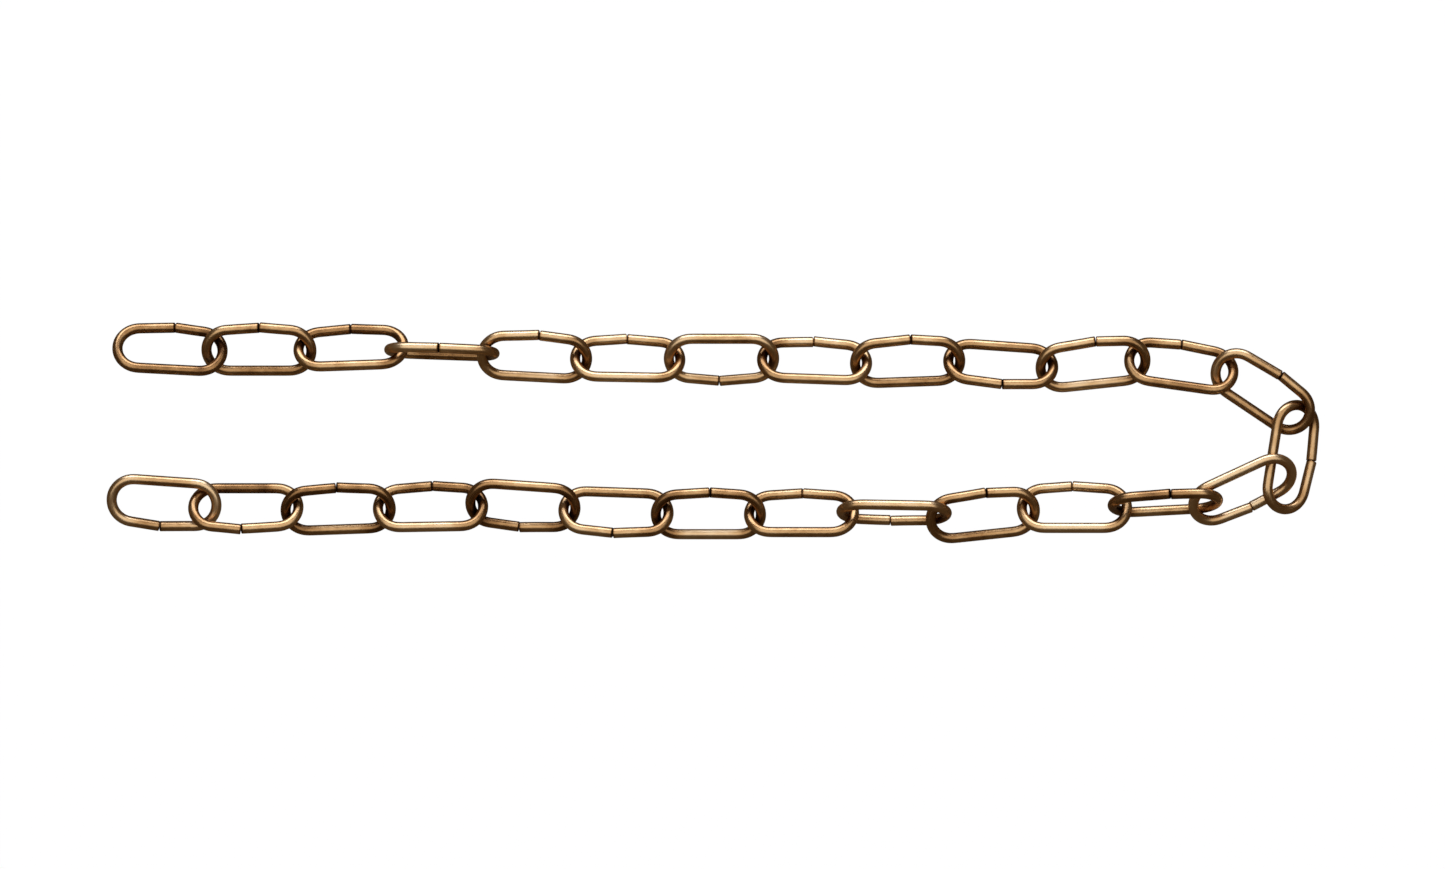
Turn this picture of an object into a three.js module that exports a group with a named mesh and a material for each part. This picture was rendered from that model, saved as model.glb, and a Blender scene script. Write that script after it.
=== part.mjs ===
// A short pocket watch chain: 27 oval links, each bent from one length of drawn brass wire and
// left open at a butt seam in one long side. The chain lies on a flat surface in a long bend, with
// both of its runs pointing towards -X.
// Millimetres, +Z up. The origin is on the surface, under the middle of the chain's box.
import * as THREE from "three";

// Driving dimensions of one link.
const WIRE = 1.5; // wire diameter
const LENGTH = 15.3; // end to end, between wire centres
const WIDTH = 6.4; // side to side, between wire centres
const SEAM_BULGE = 0.36; // how far the seam stands out beyond the line of its side
const SEAM_GAP = 0.2; // between the two wire ends at the seam

// How finely a link is faceted.
const SIDES = 8; // flats round the wire
const END_STEPS = 10; // steps round each end bend

// Worked out from them. The section keeps the area of the round wire.
const BEND_RADIUS = WIDTH / 2;
const HALF_SIDE = LENGTH / 2 - BEND_RADIUS;
const FLAT_ANGLE = (2 * Math.PI) / SIDES;
const FLAT_RADIUS = (WIRE / 2) * Math.sqrt(Math.PI / (SIDES * Math.tan(FLAT_ANGLE / 2)));
const CORNER_RADIUS = FLAT_RADIUS / Math.cos(FLAT_ANGLE / 2);

// The chain's finish: antique brass.
const BRASS_COLOUR = 0x9a7648;
const BRASS_ROUGHNESS = 0.42;

// How each link lies, from one end of the chain, round the bend, to the other end.
// x and y place its middle. heading is the way the chain runs through it, roll is how far its left
// side is raised, and dip is how far its leading end is lowered, in degrees. lift is the height of
// its lowest point above the surface, where a neighbour holds it up. seam is 1 where the seam is on
// the left as the chain runs, and -1 on the right.
const LAID = [
  { x: -78.8, y: 11.9, heading: -3, roll: -26, dip: 0, lift: 0.0, seam: 1 },
  { x: -65.9, y: 11.8, heading: 0, roll: 23, dip: -2, lift: 0.2, seam: 1 },
  { x: -52.5, y: 12.1, heading: 2, roll: -38, dip: 0, lift: 0.0, seam: 1 },
  { x: -39.3, y: 11.6, heading: -2, roll: 82, dip: 0, lift: 0.0, seam: 1 },
  { x: -25.9, y: 10.8, heading: -3, roll: 27, dip: 4, lift: 0.6, seam: 1 },
  { x: -12.4, y: 10.5, heading: -1, roll: -35, dip: 0, lift: 0.0, seam: 1 },
  { x: 1.2, y: 10.6, heading: 0, roll: 27, dip: 0, lift: 0.5, seam: -1 },
  { x: 14.7, y: 10.2, heading: -2, roll: -36, dip: 2, lift: 0.0, seam: 1 },
  { x: 28.2, y: 10.1, heading: 2, roll: 26, dip: -1, lift: 0.4, seam: 1 },
  { x: 41.7, y: 9.8, heading: -4, roll: -35, dip: 0, lift: 0.0, seam: -1 },
  { x: 55.1, y: 9.8, heading: 6, roll: 25, dip: -1, lift: 0.2, seam: 1 },
  { x: 67.9, y: 9.5, heading: -8, roll: -28, dip: 1, lift: 0.0, seam: 1 },
  { x: 79.7, y: 5.8, heading: -34, roll: 20, dip: -2, lift: 0.6, seam: 1 },
  { x: 83.8, y: -3.7, heading: -99, roll: -29, dip: 0, lift: 0.0, seam: 1 },
  { x: 76.7, y: -8.4, heading: -155, roll: -36, dip: 5, lift: 0.6, seam: 1 },
  { x: 65.5, y: -10.3, heading: -177, roll: -69, dip: 2, lift: 0.0, seam: -1 },
  { x: 52.4, y: -11.1, heading: -180, roll: 27, dip: 3, lift: 0.0, seam: -1 },
  { x: 39.1, y: -12.1, heading: -174, roll: -25, dip: -4, lift: 0.2, seam: -1 },
  { x: 26.2, y: -11.7, heading: -181, roll: -70, dip: 0, lift: 0.0, seam: 1 },
  { x: 12.8, y: -11.9, heading: -180, roll: 34, dip: 5, lift: 0.0, seam: -1 },
  { x: -0.7, y: -12.0, heading: -180, roll: -25, dip: 1, lift: 0.1, seam: -1 },
  { x: -14.1, y: -11.6, heading: -182, roll: 30, dip: 0, lift: 0.0, seam: 1 },
  { x: -27.6, y: -10.7, heading: -184, roll: -27, dip: -1, lift: 0.1, seam: 1 },
  { x: -41.0, y: -11.0, heading: -179, roll: 30, dip: 0, lift: 0.0, seam: -1 },
  { x: -54.4, y: -11.3, heading: -178, roll: -25, dip: 1, lift: 0.2, seam: -1 },
  { x: -67.8, y: -11.0, heading: -180, roll: 30, dip: 0, lift: 0.0, seam: 1 },
  { x: -79.7, y: -10.3, heading: -184, roll: -14, dip: 1, lift: 0.2, seam: 1 },
];

// A straight stretch of the wire's centre line, in one step.
function straight(x0, y0, x1, y1) {
  const from = new THREE.Vector3(x0, y0, 0);
  const to = new THREE.Vector3(x1, y1, 0);
  return { steps: 1, at: (f, out) => out.lerpVectors(from, to, f) };
}

// An end bend: half a turn, clockwise from above.
function endBend(x, startAngle) {
  const at = (f, out) => {
    const angle = startAngle - f * Math.PI;
    return out.set(x + BEND_RADIUS * Math.cos(angle), BEND_RADIUS * Math.sin(angle), 0);
  };
  return { steps: END_STEPS, at };
}

// The centre line of the bent wire, in the link's own plane: X along the link, the seam on +Y.
class WirePath extends THREE.Curve {
  constructor() {
    super();
    const seamX = SEAM_GAP / 2;
    const seamY = BEND_RADIUS + SEAM_BULGE;
    this.stretches = [
      straight(seamX, seamY, HALF_SIDE, BEND_RADIUS),
      endBend(HALF_SIDE, Math.PI / 2),
      straight(HALF_SIDE, -BEND_RADIUS, -HALF_SIDE, -BEND_RADIUS),
      endBend(-HALF_SIDE, -Math.PI / 2),
      straight(-HALF_SIDE, BEND_RADIUS, -seamX, seamY),
    ];
    this.steps = this.stretches.reduce((sum, stretch) => sum + stretch.steps, 0);
  }

  getPoint(t, out = new THREE.Vector3()) {
    let step = t * this.steps;
    let index = 0;
    while (index < this.stretches.length - 1 && step > this.stretches[index].steps) {
      step -= this.stretches[index].steps;
      index += 1;
    }
    const stretch = this.stretches[index];
    return stretch.at(step / stretch.steps, out);
  }

  // Sections stand at the ends of the steps, whatever their lengths.
  getPointAt(u, out) {
    return this.getPoint(u, out);
  }

  getTangentAt(u, out) {
    return this.getTangent(u, out);
  }
}

// The wire's section, turned so that one flat of the lower side faces down when the link leans.
function wireSection(lean) {
  const corners = [];
  for (let i = 0; i < SIDES; i++) {
    const angle = lean + (i + 0.5) * FLAT_ANGLE;
    const x = CORNER_RADIUS * Math.cos(angle);
    const y = CORNER_RADIUS * Math.sin(angle);
    corners.push(new THREE.Vector2(x, y));
  }
  return new THREE.Shape(corners);
}

function makeLink(name, laid) {
  const roll = THREE.MathUtils.degToRad(laid.roll);
  const dip = THREE.MathUtils.degToRad(laid.dip);
  const heading = THREE.MathUtils.degToRad(laid.heading);
  const path = new WirePath();
  const section = wireSection(Math.abs(roll));
  const geometry = new THREE.ExtrudeGeometry(section, { steps: path.steps, extrudePath: path });
  if (laid.seam < 0) {
    geometry.rotateZ(Math.PI);
  }
  const material = new THREE.MeshStandardMaterial({
    color: BRASS_COLOUR,
    roughness: BRASS_ROUGHNESS,
    metalness: 1,
  });
  const link = new THREE.Mesh(geometry, material);
  link.name = name;
  link.rotation.set(roll, dip, heading, "ZYX");
  link.position.set(laid.x, laid.y, 0);
  const lowest = new THREE.Box3().setFromObject(link, true).min.z;
  link.position.z = laid.lift - lowest;
  return link;
}

const laidChain = new THREE.Group();
LAID.forEach((laid, i) => {
  const name = "link_" + String(i + 1).padStart(2, "0");
  laidChain.add(makeLink(name, laid));
});

// The laid chain is centred on the origin.
const middle = new THREE.Box3().setFromObject(laidChain, true).getCenter(new THREE.Vector3());
laidChain.position.set(-middle.x, -middle.y, 0);

const chain = new THREE.Group();
chain.add(laidChain);

export default chain;
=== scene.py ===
"""Looks of the pocket watch chain: every link as fine bent brass wire, above a pale floor."""

import math

import bpy
import numpy as np
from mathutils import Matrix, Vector


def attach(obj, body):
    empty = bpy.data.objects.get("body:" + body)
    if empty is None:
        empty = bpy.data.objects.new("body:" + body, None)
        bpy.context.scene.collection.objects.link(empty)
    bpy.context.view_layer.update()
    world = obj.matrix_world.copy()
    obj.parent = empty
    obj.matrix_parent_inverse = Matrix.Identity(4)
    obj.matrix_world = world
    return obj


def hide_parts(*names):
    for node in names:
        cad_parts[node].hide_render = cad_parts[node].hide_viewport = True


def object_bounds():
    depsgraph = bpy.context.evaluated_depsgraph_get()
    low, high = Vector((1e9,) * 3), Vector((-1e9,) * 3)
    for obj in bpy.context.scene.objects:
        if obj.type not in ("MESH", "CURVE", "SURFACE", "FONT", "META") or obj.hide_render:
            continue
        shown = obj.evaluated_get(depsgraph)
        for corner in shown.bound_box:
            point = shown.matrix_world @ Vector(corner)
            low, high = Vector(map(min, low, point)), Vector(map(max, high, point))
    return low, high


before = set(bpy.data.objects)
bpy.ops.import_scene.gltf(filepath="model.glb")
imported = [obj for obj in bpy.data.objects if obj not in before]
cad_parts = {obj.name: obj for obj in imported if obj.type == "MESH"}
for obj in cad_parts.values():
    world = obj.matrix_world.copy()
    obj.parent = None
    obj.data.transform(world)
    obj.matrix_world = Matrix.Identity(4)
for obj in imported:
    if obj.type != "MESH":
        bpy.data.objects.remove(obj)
cad_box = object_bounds()

MM = 0.001

# One link, as the CAD makes it.
WIRE_RADIUS = 0.75 * MM
LENGTH = 15.3 * MM  # end to end, between wire centres
WIDTH = 6.4 * MM  # side to side, between wire centres
SEAM_BULGE = 0.36 * MM  # how far the side with the seam stands out at its knee
BEND_RADIUS = WIDTH / 2
HALF_SIDE = LENGTH / 2 - BEND_RADIUS

# How finely the wire is modelled.
RING = 28  # points round the wire
BEND_STEPS = 44
SIDE_STEPS = 30
HALF_STEPS = 26
KNEE_ROUNDS = 6  # rounds of smoothing, which give the knee and the bends their easy start

# The seam, where the two wire ends butt.
SEAM_GAP = 0.1 * MM  # half the CAD's gap, as thin as the photograph shows it
CHAMFER = 0.10 * MM  # the rounding of the cut wire ends
STEP_REACH = 1.6 * MM  # how far along the wire an end bends out of level
CUT_REACH = 0.5 * MM  # how far along the wire the lean of the cut fades

# How far the links differ from each other there.
BULGE_SWING = 0.05 * MM
STEP_OUT_SWING = 0.05 * MM  # of one wire end beyond the other, in the link's plane
STEP_UP_SWING = 0.07 * MM  # and square to it
CUT_LEAN = (0.10, 0.22)  # least and greatest slope of the cut

# How bright the metal of each link looks, in tenths of the usual: round its first bend, on
# its left side, on its right side, round its last bend, as the chain runs. This is partly the
# brass's own tone and partly painted light and shade, most of all painted shade round the bends,
# where the neighbouring links lie. Then how far along the run its seam lies from its middle, in
# tenths of a millimetre.
LINK_LOOKS = [
    (7, 7, 6, 5, 5),
    (10, 8, 7, 8, 2),
    (8, 7, 10, 7, 0),
    (14, 11, 7, 8, -3),
    (11, 14, 13, 7, 5),
    (11, 14, 16, 9, -2),
    (14, 9, 10, 12, -3),
    (7, 16, 11, 12, -2),
    (9, 10, 8, 8, 5),
    (8, 9, 9, 7, 3),
    (10, 10, 14, 8, 7),
    (8, 10, 6, 8, -4),
    (12, 9, 9, 7, 8),
    (9, 14, 11, 10, 1),
    (14, 22, 21, 13, 0),
    (8, 13, 5, 7, -8),
    (9, 20, 16, 11, 3),
    (10, 8, 9, 8, -6),
    (10, 15, 13, 10, 4),
    (9, 8, 13, 9, -1),
    (7, 17, 7, 6, -2),
    (8, 10, 9, 11, 3),
    (6, 9, 9, 6, 3),
    (6, 13, 7, 10, -3),
    (6, 9, 5, 6, 1),
    (11, 10, 5, 8, 6),
    (17, 9, 8, 13, 5),
]

# The brass from its brightest to nearly black, along its tone.
BRASS_TONES = [
    (0.00, (0.86, 0.635, 0.38, 1)),
    (0.16, (0.80, 0.555, 0.31, 1)),
    (0.38, (0.645, 0.40, 0.188, 1)),
    (0.68, (0.37, 0.195, 0.075, 1)),
    (1.00, (0.11, 0.048, 0.016, 1)),
]
USUAL_TONE = 0.3827  # of brass as bright as usual
TONE_PER_HALVING = 0.4115  # how much further along the tones brass of half that brightness is
MOST_DARKENED = 1.3  # past the darkest tone, so that a dark place stays dark under its mottling

# What else darkens the wire, in tone.
EVEN_DARK = 0.02
INSIDE_DARK = 0.10  # on the side towards the link's eye, and as much brighter on the outside
# Painted shade, with some grime, where the neighbouring links lie close.
CONTACT_DARK = 0.36  # where the neighbour's wire lies close
CONTACT_REACH = 0.9 * MM

PATTERN_STEP = 50  # millimetres of streaks and blotches for each link, which has 38 of wire

random = np.random.default_rng(1889)


# ---------------------------------------------------------------- the frame of each link


def link_frame(name):
    """Centre and axes of a CAD link: along it, across it towards its seam, square to its plane."""
    corners = np.array([v.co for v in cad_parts[name].data.vertices])
    corners = np.unique(np.round(corners, 7), axis=0)
    middle = corners.mean(0)
    axes = np.linalg.svd(corners - middle)[2]
    along, normal = axes[0], axes[2]
    if normal[2] < 0:
        normal = -normal
    reach = (corners - middle) @ along
    reach -= (reach.max() + reach.min()) / 2
    # The corners of the two end bends lie evenly about the centre. Near the middle only the wire
    # ends have corners.
    bends = np.abs(reach) > 0.7 * reach.max()
    wire_ends = np.abs(reach) < 0.1 * reach.max()
    centre = corners[bends].mean(0)
    seam = corners[wire_ends].mean(0) - centre
    across = seam - along * (seam @ along) - normal * (seam @ normal)
    across /= np.linalg.norm(across)
    return {"centre": centre, "along": np.cross(across, normal), "across": across, "normal": normal}


LINKS = sorted(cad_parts)
FRAMES = [link_frame(name) for name in LINKS]


def run_direction(number):
    """Which way the chain runs past a link."""
    ahead = FRAMES[min(number + 1, len(FRAMES) - 1)]["centre"]
    return ahead - FRAMES[max(number - 1, 0)]["centre"]


def run_sign(number):
    """1 where the link's own length axis points along the run of the chain, otherwise -1."""
    return math.copysign(1, FRAMES[number]["along"] @ run_direction(number))


def to_row(local, at):
    """Points given along a link's own axes, in the row frame."""
    basis = np.stack([at["along"], at["across"], at["normal"]])
    return local @ basis + at["centre"]


# ---------------------------------------------------------------- the wire


def centre_line(bulge, seam_x, steps_scale=1.0):
    """Points of the wire's centre in the link's own plane, from one wire end round to the other."""

    def line(a, b, count):
        t = np.linspace(0, 1, int(count * steps_scale), endpoint=False)[:, None]
        return np.array(a) * (1 - t) + np.array(b) * t

    def bend(x, start, count):
        angle = start - np.linspace(0, math.pi, int(count * steps_scale), endpoint=False)
        return np.stack([x + BEND_RADIUS * np.cos(angle), BEND_RADIUS * np.sin(angle)], 1)

    knee_y = BEND_RADIUS + bulge
    right = (seam_x + SEAM_GAP / 2, knee_y)
    left = (seam_x - SEAM_GAP / 2, knee_y)
    points = [
        line(right, (HALF_SIDE, BEND_RADIUS), HALF_STEPS),
        bend(HALF_SIDE, math.pi / 2, BEND_STEPS),
        line((HALF_SIDE, -BEND_RADIUS), (-HALF_SIDE, -BEND_RADIUS), SIDE_STEPS),
        bend(-HALF_SIDE, -math.pi / 2, BEND_STEPS),
        line((-HALF_SIDE, BEND_RADIUS), left, HALF_STEPS),
        [left],
    ]
    return np.concatenate(points)


def smoothed(values, rounds):
    """The same values with each but the ends drawn towards its neighbours."""
    for _ in range(rounds):
        values[1:-1] = 0.5 * values[1:-1] + 0.25 * (values[:-2] + values[2:])
    return values


def wire_rings(points):
    """The points, with those of a chamfer at both ends, and each one's share of the radius."""
    first, last = points[1] - points[0], points[-1] - points[-2]
    first /= np.linalg.norm(first)
    last /= np.linalg.norm(last)
    steps = np.array([0.0, 0.35, 1.0])  # into the chamfer, from the cut to its end
    depths = steps * CHAMFER
    shares = 1 - steps[::-1] * CHAMFER / WIRE_RADIUS
    head = points[0] + depths[:, None] * first
    tail = points[-1] - depths[::-1, None] * last
    clear = 1.5 * CHAMFER
    past_head = np.linalg.norm(points - points[0], axis=1) > clear
    before_tail = np.linalg.norm(points - points[-1], axis=1) > clear
    inner = points[past_head & before_tail]
    share = np.concatenate([shares, np.ones(len(inner)), shares[::-1]])
    return np.concatenate([head, inner, tail]), share


def link_mesh(name, rings):
    """A tube through rings of points, closed at both ends by flat cuts."""
    count = len(rings)
    faces = []
    for i in range(count - 1):
        for j in range(RING):
            k = (j + 1) % RING
            faces.append((i * RING + j, i * RING + k, (i + 1) * RING + k, (i + 1) * RING + j))
    faces.append(tuple(reversed(range(RING))))
    faces.append(tuple((count - 1) * RING + j for j in range(RING)))
    mesh = bpy.data.meshes.new(name)
    mesh.from_pydata(rings.reshape(-1, 3).tolist(), [], faces)
    mesh.update()
    for polygon in mesh.polygons:
        polygon.use_smooth = polygon.loop_total == 4
    return mesh


def store(mesh, name, values):
    """Keeps one number for each point of a mesh, for its material to read."""
    attribute = mesh.attributes.new(name, "FLOAT", "POINT")
    attribute.data.foreach_set("value", values.astype(np.float32).ravel())


def add_object(name, data):
    made = bpy.data.objects.new(name, data)
    bpy.context.scene.collection.objects.link(made)
    return made


def build_link(name, number):
    """One link as a piece in the row frame, with its place on the wire stored on its points."""
    at = FRAMES[number]
    bulge = SEAM_BULGE + random.uniform(-BULGE_SWING, BULGE_SWING)
    seam_x = LINK_LOOKS[number][4] * 0.1 * MM * run_sign(number)
    flat = smoothed(centre_line(bulge, seam_x), KNEE_ROUNDS)
    flat, share = wire_rings(flat)
    steps = np.linalg.norm(np.diff(flat, axis=0), axis=1)
    run = np.concatenate([[0], np.cumsum(steps)])
    tangent = np.gradient(flat, axis=0)
    tangent /= np.linalg.norm(tangent, axis=1)[:, None]
    outward = np.stack([-tangent[:, 1], tangent[:, 0]], 1)

    # The two wire ends never meet quite level.
    step_out = random.uniform(-STEP_OUT_SWING, STEP_OUT_SWING)
    step_up = random.uniform(-STEP_UP_SWING, STEP_UP_SWING)
    out_of_level = np.exp(-run / STEP_REACH) - np.exp(-(run[-1] - run) / STEP_REACH)
    flat = flat + outward * (out_of_level * step_out)[:, None]
    rise = out_of_level * step_up

    angle = np.linspace(0, 2 * math.pi, RING, endpoint=False)
    radius = WIRE_RADIUS * share[:, None] * np.ones(RING)
    side = np.cos(angle) * np.ones((len(flat), 1))
    up = np.sin(angle) * np.ones((len(flat), 1))
    local = np.zeros((len(flat), RING, 3))
    local[:, :, 0] = flat[:, 0, None] + outward[:, 0, None] * radius * side
    local[:, :, 1] = flat[:, 1, None] + outward[:, 1, None] * radius * side
    local[:, :, 2] = rise[:, None] + radius * up

    # The cut leans from the upright, whichever way the link lies, so that the floor doesn't show
    # through it.
    slant = random.choice([-1, 1]) * random.uniform(*CUT_LEAN)
    near_cut = np.exp(-run / CUT_REACH) + np.exp(-(run[-1] - run) / CUT_REACH)
    height = radius * (side * at["across"][2] + up * at["normal"][2])
    local[:, :, 0] += slant * near_cut[:, None] * height

    rings = to_row(local, at)
    mesh = link_mesh(name + "_wire", rings)
    piece = add_object(name + "_wire", mesh)

    # The material's own coordinates, in millimetres: across the wire and along it.
    place = np.zeros((len(flat), RING, 3))
    place[:, :, 0] = radius * side / MM
    place[:, :, 1] = radius * up / MM
    place[:, :, 2] = run[:, None] / MM + PATTERN_STEP * number
    attribute = mesh.attributes.new("wire_place", "FLOAT_VECTOR", "POINT")
    attribute.data.foreach_set("vector", place.astype(np.float32).ravel())
    from_seam = np.minimum(run, run[-1] - run) / MM
    store(mesh, "from_seam", np.repeat(from_seam, RING))
    return {"piece": piece, "flat": flat, "side": side, "rings": rings}


def neighbour_line(number):
    """A link's centre line in the row frame, coarsely."""
    flat = centre_line(SEAM_BULGE, 0.0, 0.5)
    return to_row(np.column_stack([flat, np.zeros(len(flat))]), FRAMES[number])


def smooth_step(values, low, high):
    t = np.clip((values - low) / (high - low), 0, 1)
    return t * t * (3 - 2 * t)


def age_and_shade_link(link, number):
    """Stores how dark each point of a link is, from its aged brass and from painted shade where the
    neighbours lie, 0 rubbed bright and 1 nearly black.
    """
    flat = link["flat"]
    forward = run_sign(number)
    left = np.cross((0, 0, 1), run_direction(number))
    leftward = math.copysign(1, FRAMES[number]["across"] @ left)
    first_bend, left_side, right_side, last_bend = LINK_LOOKS[number][:4]

    # The sides' brightness gives way to a bend's between these distances from the link's middle.
    give_way = (0.55 * HALF_SIDE, 1.25 * HALF_SIDE)
    last = smooth_step(flat[:, 0] * forward, *give_way)
    first = smooth_step(-flat[:, 0] * forward, *give_way)
    on_left = smooth_step(flat[:, 1] * leftward, -1.5 * MM, 1.5 * MM)
    sides = on_left * left_side + (1 - on_left) * right_side
    # Partly the brass's own tone, partly painted light and shade, most of all painted shade round
    # the bends.
    bright = (first * first_bend + last * last_bend + (1 - first - last) * sides) / 10
    aged_and_shade = USUAL_TONE - TONE_PER_HALVING * np.log2(bright)
    aged_and_shade = aged_and_shade[:, None] + EVEN_DARK - INSIDE_DARK * link["side"]

    # Painted shade, with some grime: the wire is darkened where a neighbouring link's wire lies
    # close.
    points = link["rings"].reshape(-1, 3)
    nearest = np.full(len(points), np.inf)
    for other in (number - 1, number + 1):
        if 0 <= other < len(LINKS):
            line = neighbour_line(other)
            gap = np.linalg.norm(points[:, None] - line[None], axis=2).min(1) - WIRE_RADIUS
            nearest = np.minimum(nearest, gap)
    contact = np.exp(-np.clip(nearest, 0, None) / CONTACT_REACH).reshape(aged_and_shade.shape)
    store(link["piece"].data, "aged_and_shade", np.clip(aged_and_shade + CONTACT_DARK * contact, 0, MOST_DARKENED))


# ---------------------------------------------------------------- antique brass


def node(tree, kind, inputs, **settings):
    """A shader node. An input is a number, a colour or another node's output."""
    made = tree.nodes.new(kind)
    for key, value in settings.items():
        setattr(made, key, value)
    for key, value in inputs.items():
        if isinstance(value, bpy.types.NodeSocket):
            tree.links.new(value, made.inputs[key])
        else:
            made.inputs[key].default_value = value
    return made


def math_node(tree, operation, *values, clamp=False):
    inputs = dict(enumerate(values))
    made = node(tree, "ShaderNodeMath", inputs, operation=operation, use_clamp=clamp)
    return made.outputs[0]


def wire_noise(tree, place, scale, detail, stretch):
    """Noise in the wire's own coordinates: a small stretch value draws it out along the wire."""
    mapping = node(tree, "ShaderNodeMapping", {"Vector": place, "Scale": (1, 1, stretch)})
    noise = {"Vector": mapping.outputs[0], "Scale": scale, "Detail": detail, "Roughness": 0.6}
    return node(tree, "ShaderNodeTexNoise", noise).outputs[0]


def seam_fade(tree, from_seam, near, far, strength):
    """Full strength up to one distance from the seam, in millimetres, and none past another."""
    ends = {"Value": from_seam, "From Min": near, "From Max": far, "To Min": strength, "To Max": 0}
    return node(tree, "ShaderNodeMapRange", ends, interpolation_type="SMOOTHSTEP").outputs[0]


def swing(tree, noise, amount):
    """Noise, which lies about a half, as a swing to either side of nothing."""
    return math_node(tree, "MULTIPLY_ADD", noise, amount, -amount / 2)


def antique_brass():
    """Drawn brass wire, satin, streaked along its length, darkened with age in patches and by
    painted shade round the bends and in the seam.
    """
    material = bpy.data.materials.new("antique_brass")
    material.use_nodes = True
    tree = material.node_tree
    tree.nodes.clear()
    place = node(tree, "ShaderNodeAttribute", {}, attribute_name="wire_place").outputs["Vector"]
    # How dark the brass is there: aged brass, with painted shade round the bends where the
    # neighbours lie.
    aged_and_shade = node(tree, "ShaderNodeAttribute", {}, attribute_name="aged_and_shade").outputs["Fac"]
    from_seam = node(tree, "ShaderNodeAttribute", {}, attribute_name="from_seam").outputs["Fac"]

    streaks = wire_noise(tree, place, scale=4.5, detail=2, stretch=0.05)
    fine_streaks = wire_noise(tree, place, scale=14.0, detail=2, stretch=0.04)
    blotches = wire_noise(tree, place, scale=0.7, detail=4, stretch=0.6)
    specks = wire_noise(tree, place, scale=7.0, detail=3, stretch=1.0)
    # Painted shade in the seam's gap: the wire is darkened up to 0.3 mm from its cut ends.
    seam_shade = seam_fade(tree, from_seam, near=0.02, far=0.30, strength=0.55)
    dented = seam_fade(tree, from_seam, near=0.3, far=1.8, strength=1.0)

    tone = aged_and_shade
    mottling = [(streaks, 0.32), (fine_streaks, 0.08), (blotches, 0.8), (specks, 0.06)]
    for noise, amount in mottling:
        tone = math_node(tree, "ADD", tone, swing(tree, noise, amount))
    tone = math_node(tree, "ADD", tone, seam_shade, clamp=True)

    ramp = node(tree, "ShaderNodeValToRGB", {"Fac": tone})
    stops = ramp.color_ramp.elements
    stops[0].position, stops[0].color = BRASS_TONES[0]
    stops[1].position, stops[1].color = BRASS_TONES[-1]
    for position, color in BRASS_TONES[1:-1]:
        stops.new(position).color = color

    rough = math_node(tree, "MULTIPLY_ADD", tone, -0.08, 0.33)
    rough = math_node(tree, "ADD", rough, swing(tree, fine_streaks, 0.10))

    dents = math_node(tree, "MULTIPLY", dented, specks)
    height = 0.0
    for relief, share in [(fine_streaks, 0.5), (streaks, 0.6), (specks, 0.25), (dents, 1.2)]:
        height = math_node(tree, "MULTIPLY_ADD", relief, share, height)
    bumps = {"Strength": 0.3, "Distance": 0.01 * MM, "Height": height}
    bump = node(tree, "ShaderNodeBump", bumps)

    surface = {
        "Base Color": ramp.outputs[0],
        "Metallic": 1.0,
        "Roughness": rough,
        "Normal": bump.outputs[0],
        "Coat Weight": 0.1,
        "Coat Roughness": 0.3,
    }
    shader = node(tree, "ShaderNodeBsdfPrincipled", surface)
    node(tree, "ShaderNodeOutputMaterial", {"Surface": shader.outputs[0]})
    return material


# ---------------------------------------------------------------- floor, light and camera


STUDIO_RADIUS = 5.0  # near enough for the camera to draw it from every side
WALL_HEIGHT = 4.0
WALL_FOOT = -1.0  # well below the floor, so that no gap shows between them
WALL_SIDES = 64
FLOOR_DROP = 0.175  # low enough that a run of links swung down at a joint's limit stays in view

# How the photograph frames the chain.
VIEW_WIDTH = 209.5 * MM
ASIDE_X = 1.4 * MM  # it isn't quite centred on the chain
ASIDE_Y = -0.24 * MM
AIM_HEIGHT = 3 * MM  # of most of the wires, where the width is true
LENS = 200  # in millimetres, as Blender takes lenses and sensors
SENSOR_WIDTH = 36


def self_lit(name, grey, glow):
    """A dull surface that shines by itself, so that it looks evenly pale."""
    material = bpy.data.materials.new(name)
    material.use_nodes = True
    shader = material.node_tree.nodes["Principled BSDF"]
    shader.inputs["Base Color"].default_value = (grey, grey, grey, 1)
    shader.inputs["Roughness"].default_value = 0.9
    shader.inputs["Specular IOR Level"].default_value = 0.0
    shader.inputs["Emission Color"].default_value = (1, 1, 1, 1)
    shader.inputs["Emission Strength"].default_value = glow
    return material


def make_wall():
    """A pale wall far around the floor, which only the camera sees."""
    angle = np.linspace(0, 2 * math.pi, WALL_SIDES, endpoint=False)
    ring = STUDIO_RADIUS * np.stack([np.cos(angle), np.sin(angle)], 1)
    corners = [(x, y, z) for z in (WALL_FOOT, WALL_HEIGHT) for x, y in ring.tolist()]
    faces = []
    for i in range(WALL_SIDES):
        k = (i + 1) % WALL_SIDES
        faces.append((i, k, k + WALL_SIDES, i + WALL_SIDES))
    mesh = bpy.data.meshes.new("wall")
    mesh.from_pydata(corners, [], faces)
    mesh.materials.append(self_lit("wall_white", grey=0.0, glow=0.98))
    wall = add_object("wall", mesh)
    wall.visible_diffuse = False
    wall.visible_glossy = False
    wall.visible_shadow = False


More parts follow.
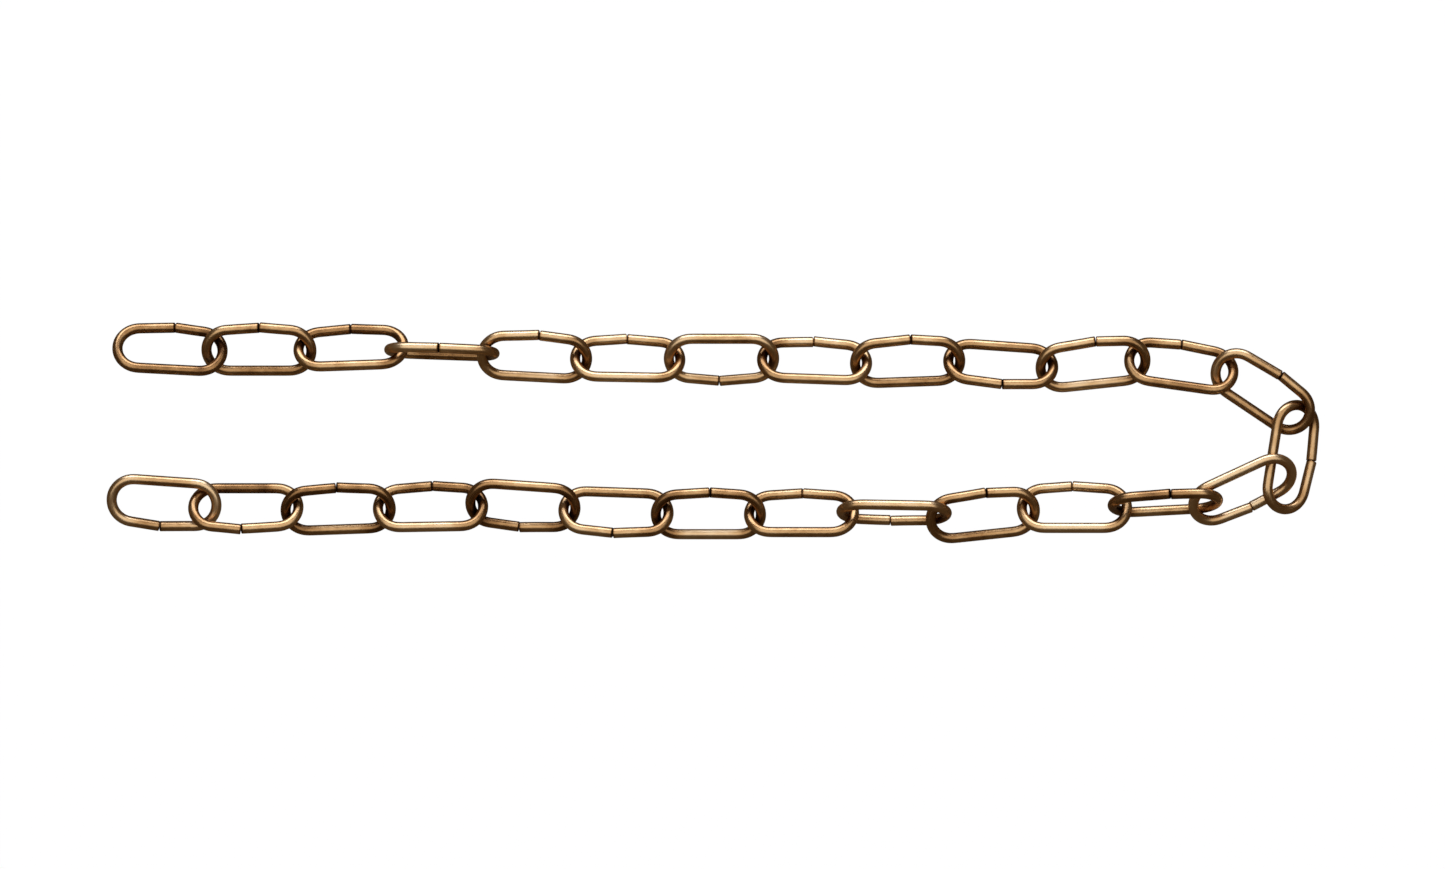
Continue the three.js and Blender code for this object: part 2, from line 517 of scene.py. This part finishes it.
def make_floor():
    """A pale floor, which the polished metal doesn't mirror."""
    half = STUDIO_RADIUS
    corners = [(-half, -half, 0), (half, -half, 0), (half, half, 0), (-half, half, 0)]
    mesh = bpy.data.meshes.new("floor")
    mesh.from_pydata(corners, [], [(0, 1, 2, 3)])
    mesh.materials.append(self_lit("floor_white", grey=0.06, glow=0.97))
    floor = add_object("floor", mesh)
    floor.location.z = cad_box[0][2] - FLOOR_DROP
    floor.visible_glossy = False


def make_panel(name, place, target, width, height, radiance, color):
    """A soft panel of even radiance."""
    data = bpy.data.lights.new(name, "AREA")
    data.shape = "RECTANGLE"
    data.size, data.size_y = width, height
    data.energy = radiance * math.pi * width * height
    data.color = color
    panel = add_object(name, data)
    panel.location = place
    aim = Vector(target) - Vector(place)
    panel.rotation_euler = aim.to_track_quat("-Z", "Y").to_euler()


def make_lights():
    """One large panel overhead, a cool bright one behind, and a dim warm surround."""
    world = bpy.data.worlds.new("studio")
    world.use_nodes = True
    background = world.node_tree.nodes["Background"]
    background.inputs["Color"].default_value = (1, 0.72, 0.44, 1)
    background.inputs["Strength"].default_value = 0.08
    bpy.context.scene.world = world
    make_panel(
        "overhead",
        place=(-0.05, 0.34, 1.0),
        target=(-0.05, 0.34, 0),
        width=1.9,
        height=1.26,
        radiance=1.0,
        color=(1, 1, 1),
    )
    make_panel(
        "back",
        place=(-0.1, 1.15, 0.4),
        target=(-0.1, 0, 0.4),
        width=1.3,
        height=0.7,
        radiance=4.5,
        color=(0.76, 0.83, 1.0),
    )


def make_camera():
    """Straight above the chain with a long lens, framed as the photograph frames it."""
    low, high = cad_box
    aim_x = (low[0] + high[0]) / 2 + ASIDE_X
    aim_y = (low[1] + high[1]) / 2 + ASIDE_Y
    aim = Vector((aim_x, aim_y, AIM_HEIGHT))
    data = bpy.data.cameras.new("camera")
    data.lens, data.sensor_width = LENS, SENSOR_WIDTH
    distance = VIEW_WIDTH * LENS / SENSOR_WIDTH
    camera = add_object("camera", data)
    camera.location = aim + Vector((0, 0, distance))
    bpy.context.scene.camera = camera
    bpy.context.scene.view_settings.view_transform = "Standard"


make_camera()
make_floor()
make_wall()
make_lights()
brass = antique_brass()
links = [build_link(name, number) for number, name in enumerate(LINKS)]
for number, name in enumerate(LINKS):
    age_and_shade_link(links[number], number)
    piece = links[number]["piece"]
    piece.data.materials.append(brass)
    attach(piece, name)
    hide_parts(name)
